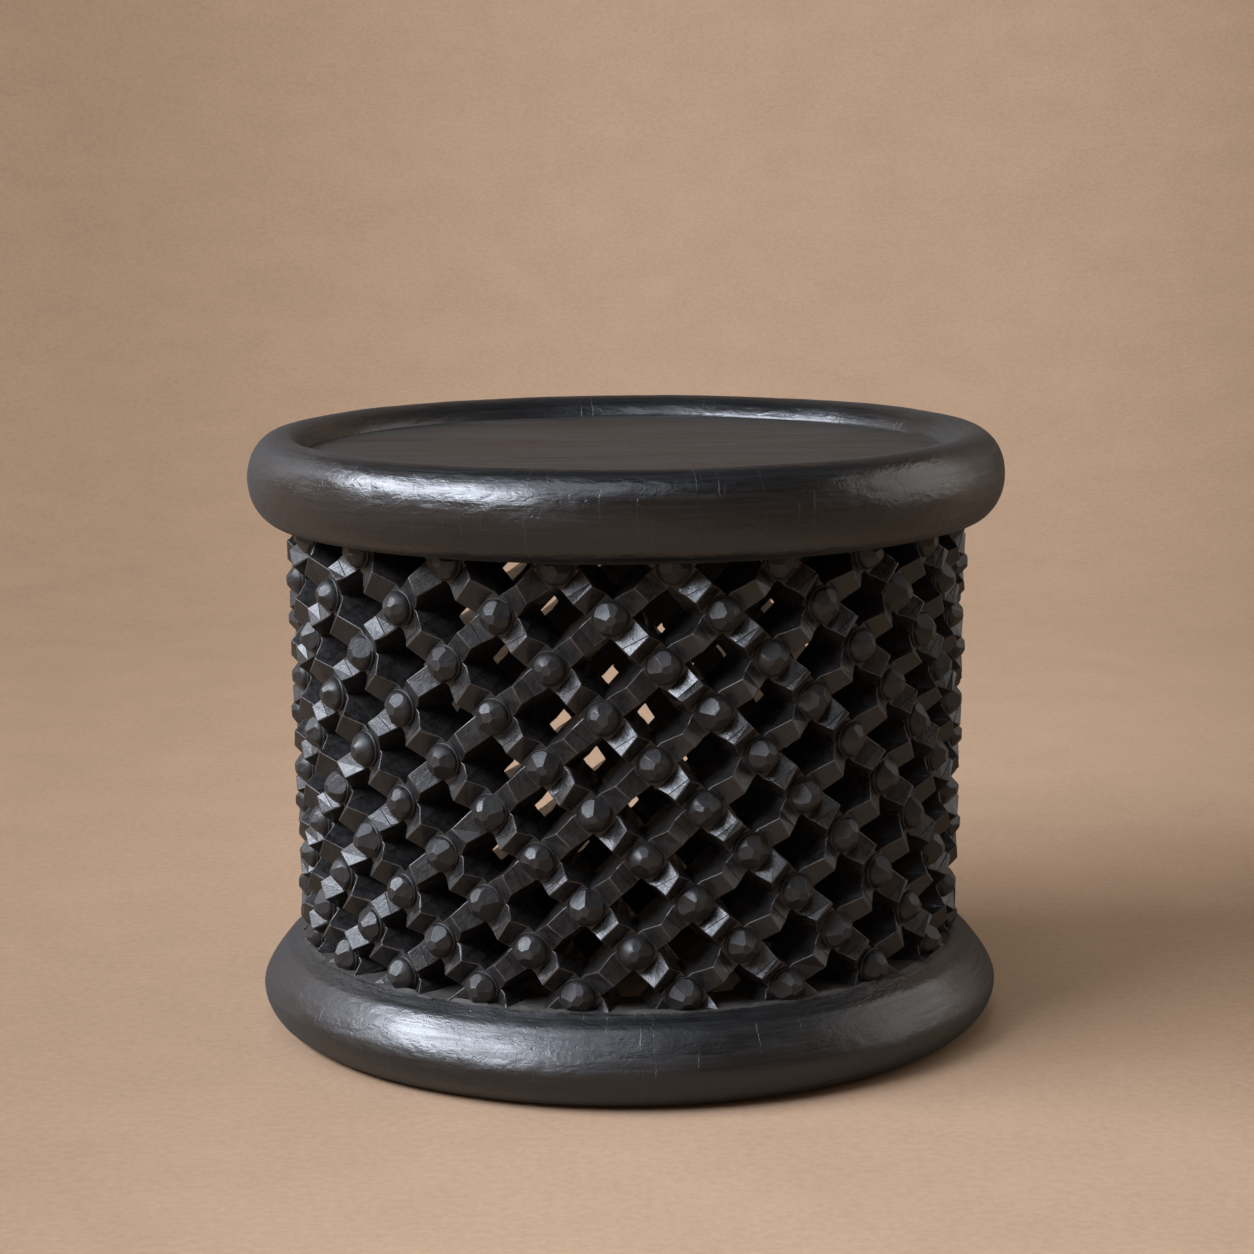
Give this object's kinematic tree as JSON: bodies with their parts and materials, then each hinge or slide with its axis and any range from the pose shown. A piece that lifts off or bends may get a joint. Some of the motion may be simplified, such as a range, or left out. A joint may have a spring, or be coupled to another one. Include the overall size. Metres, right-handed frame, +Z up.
{
  "type": "carved drum stool",
  "caption": "Low round drum stool in blackened wood: recessed seat in a thick rolled rim, openwork diagonal lattice wall with faceted studs, rounded foot ring.",
  "frame": {"origin": "centre of the foot ring's flat underside, on the floor", "axes": "+Z up out of the seat along the drum's axis; -Y is the side the picture shows; +X is its right"},
  "size_m": [0.48, 0.48, 0.3775],
  "materials": {
    "rim_wood": "blackened hardwood, waxed satin",
    "seat_wood": "blackened hardwood, worn satin, slightly browner",
    "foot_wood": "blackened hardwood, waxed satin",
    "rising_bar_wood": "blackened hardwood, knife-cut facets",
    "falling_bar_wood": "blackened hardwood, knife-cut facets"
  },
  "bodies": {
    "root": {"seat_rim": "rim_wood", "seat_panel": "seat_wood", "foot_ring": "foot_wood", "rising_bar_01": "rising_bar_wood", "rising_bar_02": "rising_bar_wood", "rising_bar_03": "rising_bar_wood", "rising_bar_04": "rising_bar_wood", "rising_bar_05": "rising_bar_wood", "rising_bar_06": "rising_bar_wood", "rising_bar_07": "rising_bar_wood", "rising_bar_08": "rising_bar_wood", "rising_bar_09": "rising_bar_wood", "rising_bar_10": "rising_bar_wood", "rising_bar_11": "rising_bar_wood", "rising_bar_12": "rising_bar_wood", "rising_bar_13": "rising_bar_wood", "rising_bar_14": "rising_bar_wood", "rising_bar_15": "rising_bar_wood", "rising_bar_16": "rising_bar_wood", "rising_bar_17": "rising_bar_wood", "rising_bar_18": "rising_bar_wood", "rising_bar_19": "rising_bar_wood", "rising_bar_20": "rising_bar_wood", "falling_bar_01": "falling_bar_wood", "falling_bar_02": "falling_bar_wood", "falling_bar_03": "falling_bar_wood", "falling_bar_04": "falling_bar_wood", "falling_bar_05": "falling_bar_wood", "falling_bar_06": "falling_bar_wood", "falling_bar_07": "falling_bar_wood", "falling_bar_08": "falling_bar_wood", "falling_bar_09": "falling_bar_wood", "falling_bar_10": "falling_bar_wood", "falling_bar_11": "falling_bar_wood", "falling_bar_12": "falling_bar_wood", "falling_bar_13": "falling_bar_wood", "falling_bar_14": "falling_bar_wood", "falling_bar_15": "falling_bar_wood", "falling_bar_16": "falling_bar_wood", "falling_bar_17": "falling_bar_wood", "falling_bar_18": "falling_bar_wood", "falling_bar_19": "falling_bar_wood", "falling_bar_20": "falling_bar_wood"}
  },
  "joints": []
}
